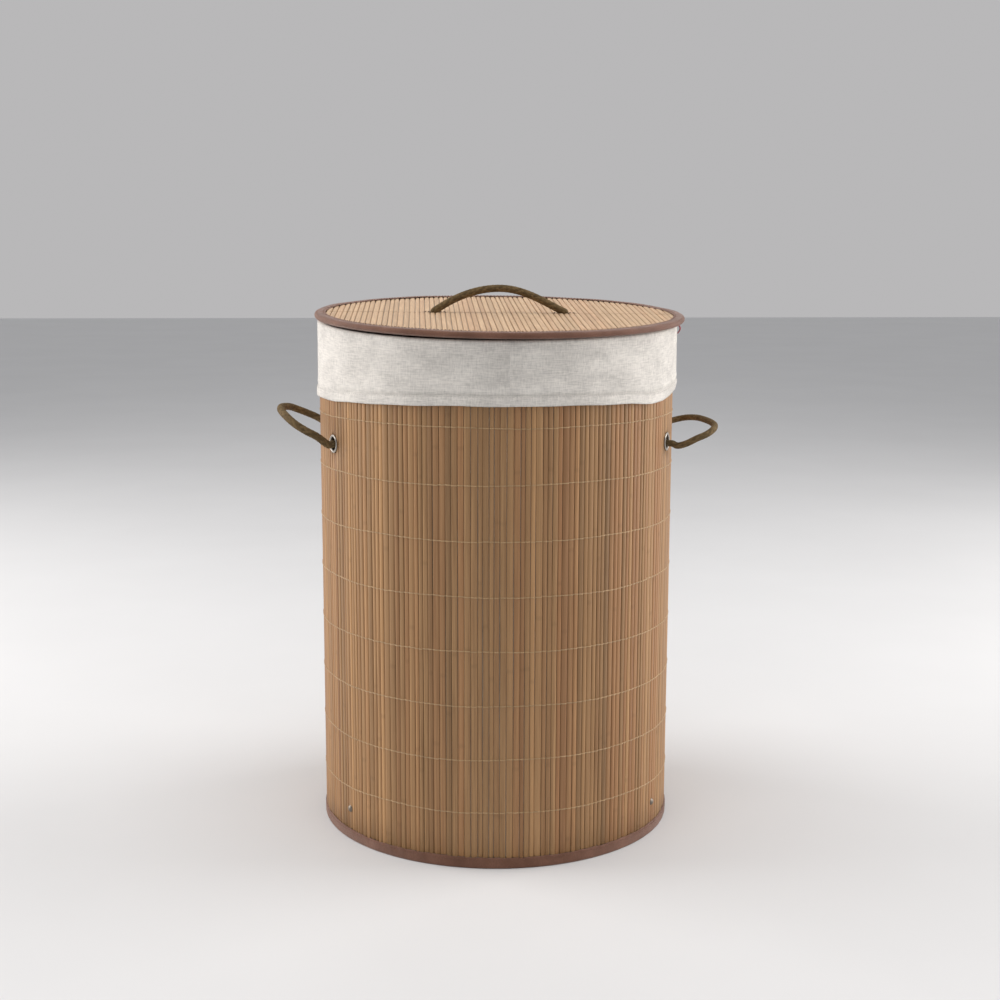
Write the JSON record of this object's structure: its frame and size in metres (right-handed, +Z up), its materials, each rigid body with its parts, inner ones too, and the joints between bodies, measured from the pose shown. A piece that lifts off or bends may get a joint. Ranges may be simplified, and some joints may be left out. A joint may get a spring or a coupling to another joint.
{
  "type": "laundry hamper with lid",
  "caption": "Round bamboo slat laundry hamper with a lift-out linen liner folded over its rim, a loose slatted lid, rope side handles and a rope lid handle.",
  "frame": {"origin": "centre of the hamper's footprint, on the surface it stands on", "axes": "+Z up; the side handles point along +X and -X; the front faces -Y and the lid's slats run nearly along Y"},
  "size_m": [0.439, 0.3641, 0.5373],
  "materials": {
    "wall_bamboo": "satin, heat-darkened bamboo slats",
    "lid_bamboo": "satin, paler bamboo slats",
    "backing_cloth": "thin woven backing cloth",
    "stitch_thread": "pale yellow sewing thread",
    "dark_thread": "dark sewing thread",
    "hoop_steel": "plain spring steel wire",
    "binding_tape": "brown woven binding tape",
    "eyelet_nickel": "nickel-plated",
    "rope": "braided olive-brown cord",
    "clip_steel": "zinc-plated sheet",
    "rivet_steel": "nickel-plated",
    "base_panel": "hardboard",
    "liner_linen": "off-white cotton and linen cloth"
  },
  "bodies": {
    "hamper": {"wall_slats": "wall_bamboo", "wall_backing": "backing_cloth", "wall_threads": "stitch_thread", "top_hoop": "hoop_steel", "bottom_hoop": "hoop_steel", "top_binding": "binding_tape", "bottom_binding": "binding_tape", "seam_tape": "backing_cloth", "eyelets": "eyelet_nickel", "eyelet_washers": "eyelet_nickel", "left_handle_ends": "rope", "right_handle_ends": "rope", "base_clips": "clip_steel", "rivets": "rivet_steel", "rivet_washers": "rivet_steel", "base_board": "base_panel", "base_binding": "binding_tape"},
    "liner": {"liner_wall": "liner_linen", "liner_base": "liner_linen", "liner_fold": "liner_linen", "liner_cuff": "liner_linen", "liner_hem": "liner_linen"},
    "lid": {"lid_slats": "lid_bamboo", "lid_backing": "backing_cloth", "lid_thread": "dark_thread", "lid_hoop": "hoop_steel", "lid_binding": "binding_tape", "lid_binding_tail": "binding_tape", "lid_handle_ends": "rope"},
    "left_handle": {"left_handle_rope": "rope"},
    "right_handle": {"right_handle_rope": "rope"},
    "lid_handle": {"lid_handle_rope": "rope"}
  },
  "joints": [
    {"name": "liner_lift", "type": "slide", "parent": "hamper", "child": "liner", "axis": [0, 0, 1], "range_m": [0, 0.5]},
    {"name": "lid_lift", "type": "slide", "parent": "liner", "child": "lid", "axis": [0, 0, 1], "range_m": [0, 0.25]},
    {"name": "left_handle_swing", "type": "hinge", "parent": "hamper", "child": "left_handle", "pos_m": [-0.16535, 0, 0.3862], "axis": [0, 1, 0], "range_deg": [-80, 30]},
    {"name": "right_handle_swing", "type": "hinge", "parent": "hamper", "child": "right_handle", "pos_m": [0.16535, 0, 0.3862], "axis": [0, -1, 0], "range_deg": [-60, 45]},
    {"name": "lid_handle_swing", "type": "hinge", "parent": "lid", "child": "lid_handle", "pos_m": [0.00306, -0.00048, 0.51274], "axis": [0.9994, -0.0349, -0.0078], "range_deg": [-70, 70]}
  ]
}
